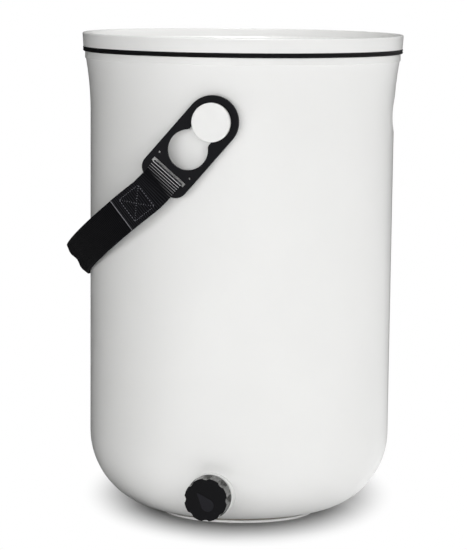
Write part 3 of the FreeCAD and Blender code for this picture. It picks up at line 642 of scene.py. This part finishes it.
# One thread loop on each point, laid along its row and set into the band
def stitch_tree():
    tree = new_nodes_tree("lockstitches", (("Stitch length", "NodeSocketFloat"),
                                           ("Thread radius", "NodeSocketFloat"),
                                           ("Thread", "NodeSocketMaterial")))
    given = add(tree, "NodeGroupInput").outputs
    run = add(tree, "GeometryNodeInputNamedAttribute", {"data_type": "FLOAT_VECTOR", "Name": "run"})
    face = add(tree, "GeometryNodeInputNamedAttribute", {"data_type": "FLOAT_VECTOR", "Name": "face"})
    turned = add(tree, "FunctionNodeAxesToRotation", {"primary_axis": "X", "secondary_axis": "Z"},
                 {0: run.outputs[0], 1: face.outputs[0]})
    bead = add(tree, "GeometryNodeMeshUVSphere", {"Segments": 8, "Rings": 6, "Radius": 1.0})
    half = add(tree, "ShaderNodeMath", {"operation": "MULTIPLY", 1: 0.5}, {0: given["Stitch length"]})
    shape = add(tree, "ShaderNodeCombineXYZ", {}, {"X": half.outputs[0], "Y": given["Thread radius"],
                                                   "Z": given["Thread radius"]})
    loop = add(tree, "GeometryNodeTransform", {}, {"Geometry": bead.outputs[0], "Scale": shape.outputs[0]})
    sewn = add(tree, "GeometryNodeInstanceOnPoints", {},
               {"Points": given["Geometry"], "Instance": loop.outputs[0], "Rotation": turned.outputs[0]})
    real = add(tree, "GeometryNodeRealizeInstances", {}, {"Geometry": sewn.outputs[0]})
    smooth = add(tree, "GeometryNodeSetShadeSmooth", {}, {"Geometry": real.outputs[0]})
    faced = add(tree, "GeometryNodeSetMaterial", {},
                {"Geometry": smooth.outputs[0], "Material": given["Thread"]})
    add(tree, "NodeGroupOutput", {}, {"Geometry": faced.outputs[0]})
    return tree


# Bonded polyester thread: black, tightly twisted and waxed. Its grey colours are a painted highlight for the
# small glint each stitch catches.
def bonded_thread(name, colour, twist_colour, twist=0.4 * MM):
    material, tree = new_material(name)
    place = add(tree, "ShaderNodeTexCoord").outputs["Object"]
    plies = add(tree, "ShaderNodeTexNoise", {"Scale": 1 / twist, "Detail": 2.0}, {"Vector": place})
    tone = add(tree, "ShaderNodeMix", {"data_type": "RGBA", 6: linear(colour), 7: linear(twist_colour)},
               {0: plies.outputs["Fac"]})
    relief = add(tree, "ShaderNodeBump", {"Strength": 0.3, "Distance": 0.08 * MM},
                 {"Height": plies.outputs["Fac"]})
    shader = add(tree, "ShaderNodeBsdfPrincipled", {"Roughness": 0.42, "IOR": 1.5},
                 {"Base Color": tone.outputs[2], "Normal": relief.outputs[0]})
    add(tree, "ShaderNodeOutputMaterial", {}, {"Surface": shader.outputs[0]})
    return material


# The grey thread colours are a painted highlight on black thread.
thread_material = bonded_thread("bonded_black_thread", "#5A5A60", "#74747A")
stitching = made_by_nodes("stitching", stitch_points(), stitch_tree(),
                          {"Stitch length": stitch_length * MM, "Thread radius": thread_radius * MM,
                           "Thread": thread_material})
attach(stitching, "handle")

# ---------------------------------------------------------------------------------------------
# Lid seal: a moulded black rubber ring with two beads, held round the lid's skirt and squeezed
# between the lid's flange and the bucket's rim.
# ---------------------------------------------------------------------------------------------
dress(moulded_rubber("moulded_black_seal", "#0C0C0D", "#141415", bloom=9 * MM), "lid_seal")

# ---------------------------------------------------------------------------------------------
# Lid: a dished white polypropylene moulding with a raised rim and a skirt that plugs the mouth.
# It is pressed on by hand and pulled off by its rim.
# ---------------------------------------------------------------------------------------------
dress(satin_polypropylene("satin_white_lid", "#EEEEED", "#E8E8E7", 0.38), "lid")

# ---------------------------------------------------------------------------------------------
# Light: a broad low soft box beside the camera, one on the right, one overhead and a small one behind,
# in a room that is dim on the left, so the wall darkens to its left edge. The camera sees plain white.
# ---------------------------------------------------------------------------------------------
camera_azimuth = math.radians(10.3)
bright_azimuth = camera_azimuth + math.radians(45)
bright_edge = (-0.57, 0.42)
room_strength = 0.06


# An area light: azimuth in degrees from the camera, distance, height and size in metres, power in watts
def soft_box(name, azimuth, distance, height, size, power, aim=(0, 0, 0.2)):
    data = bpy.data.lights.new(name, "AREA")
    data.shape = "RECTANGLE"
    data.size, data.size_y = size
    data.energy = power
    box = bpy.data.objects.new(name, data)
    angle = camera_azimuth + math.radians(azimuth)
    box.location = (distance * math.sin(angle), -distance * math.cos(angle), height)
    box.rotation_mode = "QUATERNION"
    box.rotation_quaternion = (Vector(aim) - box.location).to_track_quat("-Z", "Y")
    bpy.context.scene.collection.objects.link(box)
    return box


front_box = soft_box("front_soft_box", -6, 2.6, 0.55, (3.2, 0.5), 45.5)
front_box.visible_glossy = False
right_box = soft_box("right_soft_box", 95, 2.6, 0.7, (1.6, 1.0), 22)
right_box.visible_glossy = False
soft_box("top_soft_box", 0, 0.1, 2.4, (0.8, 0.8), 31)
back_box = soft_box("back_soft_box", 180, 2.6, 1.5, (0.8, 1.2), 30)
back_box.visible_glossy = False


# 1 towards the soft boxes' side, 0 towards the dim side
def bright_side(tree, direction):
    facing = add(tree, "ShaderNodeVectorMath", {"operation": "DOT_PRODUCT",
                                                1: (math.sin(bright_azimuth), -math.cos(bright_azimuth), 0)},
                 {0: direction})
    share = add(tree, "ShaderNodeMapRange", {"interpolation_type": "SMOOTHSTEP", "From Min": bright_edge[0],
                                             "From Max": bright_edge[1]}, {"Value": facing.outputs["Value"]})
    return share.outputs[0]


# 1 for rays that see the plain white backdrop: the camera's, and those through glass or off a gloss
# that look towards the bright side
def backdrop_rays(tree, bright):
    path = add(tree, "ShaderNodeLightPath").outputs
    mirrored = add(tree, "ShaderNodeMath", {"operation": "MULTIPLY"}, {0: path["Is Glossy Ray"], 1: bright})
    through = add(tree, "ShaderNodeMath", {"operation": "MAXIMUM"},
                  {0: path["Is Transmission Ray"], 1: mirrored.outputs[0]})
    return add(tree, "ShaderNodeMath", {"operation": "MAXIMUM"},
               {0: path["Is Camera Ray"], 1: through.outputs[0]}).outputs[0]


world = bpy.data.worlds.new("studio_room")
bpy.context.scene.world = world
world.use_nodes = True
tree = world.node_tree
tree.nodes.clear()
bright = bright_side(tree, add(tree, "ShaderNodeTexCoord").outputs["Generated"])
room = add(tree, "ShaderNodeBackground", {"Color": linear("#FFFFF6"), "Strength": room_strength})
sweep = add(tree, "ShaderNodeBackground", {"Color": (1, 1, 1, 1), "Strength": 1.0})
either = add(tree, "ShaderNodeMixShader", {}, {0: backdrop_rays(tree, bright), 1: room.outputs[0],
                                               2: sweep.outputs[0]})
add(tree, "ShaderNodeOutputWorld", {}, {"Surface": either.outputs[0]})

# ---------------------------------------------------------------------------------------------
# Floor: a pale matt studio floor without an edge in view. It keeps the shadow near the bin, deepened by
# a painted shadow the camera sees in a darker grey inside an ellipse, and goes over to plain white further
# out.
# ---------------------------------------------------------------------------------------------
floor_reach = 60.0
shadow_start = 0.082
shadow_end = 0.138
shadow_back = 0.1
shadow_stretch = 2.0
board_fibre = 4 * MM
painted_shadow_grey = "#A6A6A6"
board_dim = "#202020"
floor_mesh = bpy.data.meshes.new("studio_floor")
floor_mesh.from_pydata([(-floor_reach, -floor_reach, 0), (floor_reach, -floor_reach, 0),
                        (floor_reach, floor_reach, 0), (-floor_reach, floor_reach, 0)], [], [(0, 1, 2, 3)])
floor = bpy.data.objects.new("studio_floor", floor_mesh)
bpy.context.scene.collection.objects.link(floor)

# Matt painted board: scatters evenly. The camera sees it in a darker grey inside an ellipse set behind the
# bin, a painted shadow over the real one, and plain white beyond.
floor_material, tree = new_material("matt_white_board")
place = add(tree, "ShaderNodeTexCoord").outputs["Object"]
shadow_middle = (-shadow_back * math.sin(camera_azimuth), shadow_back * math.cos(camera_azimuth), 0)
squeezed = add(tree, "ShaderNodeMapping", {"vector_type": "TEXTURE", "Location": shadow_middle,
                                           "Rotation": (0, 0, camera_azimuth),
                                           "Scale": (1, shadow_stretch, 1)},
               {"Vector": place})
distance = add(tree, "ShaderNodeVectorMath", {"operation": "LENGTH"}, {0: squeezed.outputs["Vector"]})
# Painted shadow: the shape of the ellipse behind the bin, fading to white beyond it.
beyond = add(tree, "ShaderNodeMapRange", {"interpolation_type": "SMOOTHSTEP", "From Min": shadow_start,
                                          "From Max": shadow_end}, {"Value": distance.outputs["Value"]})
outward = add(tree, "ShaderNodeVectorMath", {"operation": "NORMALIZE"}, {0: place})
bright = bright_side(tree, outward.outputs["Vector"])
seen = backdrop_rays(tree, bright)
plain = add(tree, "ShaderNodeMath", {"operation": "MULTIPLY"}, {0: seen, 1: beyond.outputs[0]})
fibres = add(tree, "ShaderNodeTexNoise", {"Scale": 1 / board_fibre, "Detail": 2.0}, {"Vector": place})
paint = add(tree, "ShaderNodeMix", {"data_type": "RGBA", 6: linear("#F2F2F2"), 7: linear("#F6F6F6")},
            {0: fibres.outputs["Fac"]})
path = add(tree, "ShaderNodeLightPath").outputs
unlit = add(tree, "ShaderNodeMath", {"operation": "SUBTRACT", 0: 1.0}, {1: bright})
dim = add(tree, "ShaderNodeMath", {"operation": "MULTIPLY"},
          {0: path["Is Glossy Ray"], 1: unlit.outputs[0]})
shaded = add(tree, "ShaderNodeMix", {"data_type": "RGBA", 7: linear(board_dim)},
             {0: dim.outputs[0], 6: paint.outputs[2]})
# Painted shadow: the camera sees the board in a darker grey.
viewed = add(tree, "ShaderNodeMix", {"data_type": "RGBA", 7: linear(painted_shadow_grey)},
             {0: path["Is Camera Ray"], 6: shaded.outputs[2]})
board = add(tree, "ShaderNodeBsdfDiffuse", {}, {"Color": viewed.outputs[2]})
white = add(tree, "ShaderNodeEmission", {"Color": (1, 1, 1, 1), "Strength": 1.0})
either = add(tree, "ShaderNodeMixShader", {},
             {0: plain.outputs[0], 1: board.outputs[0], 2: white.outputs[0]})
add(tree, "ShaderNodeOutputMaterial", {}, {"Surface": either.outputs[0]})
floor_mesh.materials.append(floor_material)

# ---------------------------------------------------------------------------------------------
# Camera: a long lens a little above the lid, turned a few degrees round the bin, looking down
# by six degrees and rolled slightly, as the photograph was taken.
# ---------------------------------------------------------------------------------------------
camera_distance = 2.749
camera_height = 0.4955
camera_pitch = math.radians(6.11)
camera_roll = math.radians(0.59)
camera_yaw = math.radians(0.125)
camera_data = bpy.data.cameras.new("camera")
camera_data.sensor_width = 36.0
camera_data.lens = 213.6
camera_data.clip_end = 200.0
camera = bpy.data.objects.new("camera", camera_data)
bpy.context.scene.collection.objects.link(camera)
bpy.context.scene.camera = camera
facing = camera_azimuth + camera_yaw
level = Vector((-math.sin(facing), math.cos(facing), 0))
right = Vector((math.cos(facing), math.sin(facing), 0))
forward = level * math.cos(camera_pitch) - Vector((0, 0, 1)) * math.sin(camera_pitch)
up = right.cross(forward)
rolled_right = right * math.cos(camera_roll) + up * math.sin(camera_roll)
rolled_up = up * math.cos(camera_roll) - right * math.sin(camera_roll)
turn = Matrix((rolled_right, rolled_up, -forward)).transposed()
camera.matrix_world = Matrix.Translation((camera_distance * math.sin(camera_azimuth),
                                          -camera_distance * math.cos(camera_azimuth),
                                          camera_height)) @ turn.to_4x4()

bpy.context.scene.view_settings.view_transform = "Standard"
